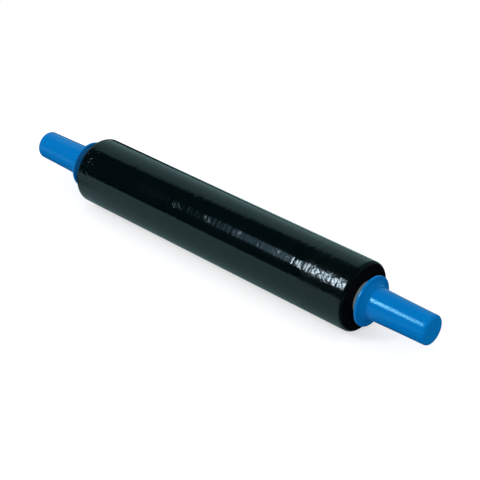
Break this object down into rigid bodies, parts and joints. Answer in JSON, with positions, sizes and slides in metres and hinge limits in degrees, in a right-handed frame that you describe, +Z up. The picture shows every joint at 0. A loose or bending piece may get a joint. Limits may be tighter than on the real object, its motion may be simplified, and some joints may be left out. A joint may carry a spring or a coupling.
{
  "type": "stretch wrap roll",
  "caption": "Glossy stretch film wound on a card core that stands out at both ends, with a flanged, tapered plastic handle turning in each end of the core.",
  "frame": {"origin": "on the ground under the middle of the whole length, with the roll lying on its flat spot", "axes": "+X along the roll towards the end with the shorter stretch of bare core, +Z up, Y across"},
  "size_m": [0.7266, 0.099, 0.0986],
  "materials": {
    "black_film": "gloss",
    "grey_card": "matte",
    "blue_plastic": "satin"
  },
  "bodies": {
    "roll": {"film_roll": "black_film", "card_core": "grey_card"},
    "near_handle": {"handle_near": "blue_plastic"},
    "far_handle": {"handle_far": "blue_plastic"}
  },
  "joints": [
    {"name": "near_handle_spin", "type": "hinge", "parent": "roll", "child": "near_handle", "pos_m": [0.2643, 0, 0.04913], "axis": [1, 0, 0], "continuous": true},
    {"name": "far_handle_spin", "type": "hinge", "parent": "roll", "child": "far_handle", "pos_m": [-0.2643, 0, 0.04913], "axis": [1, 0, 0], "continuous": true}
  ]
}
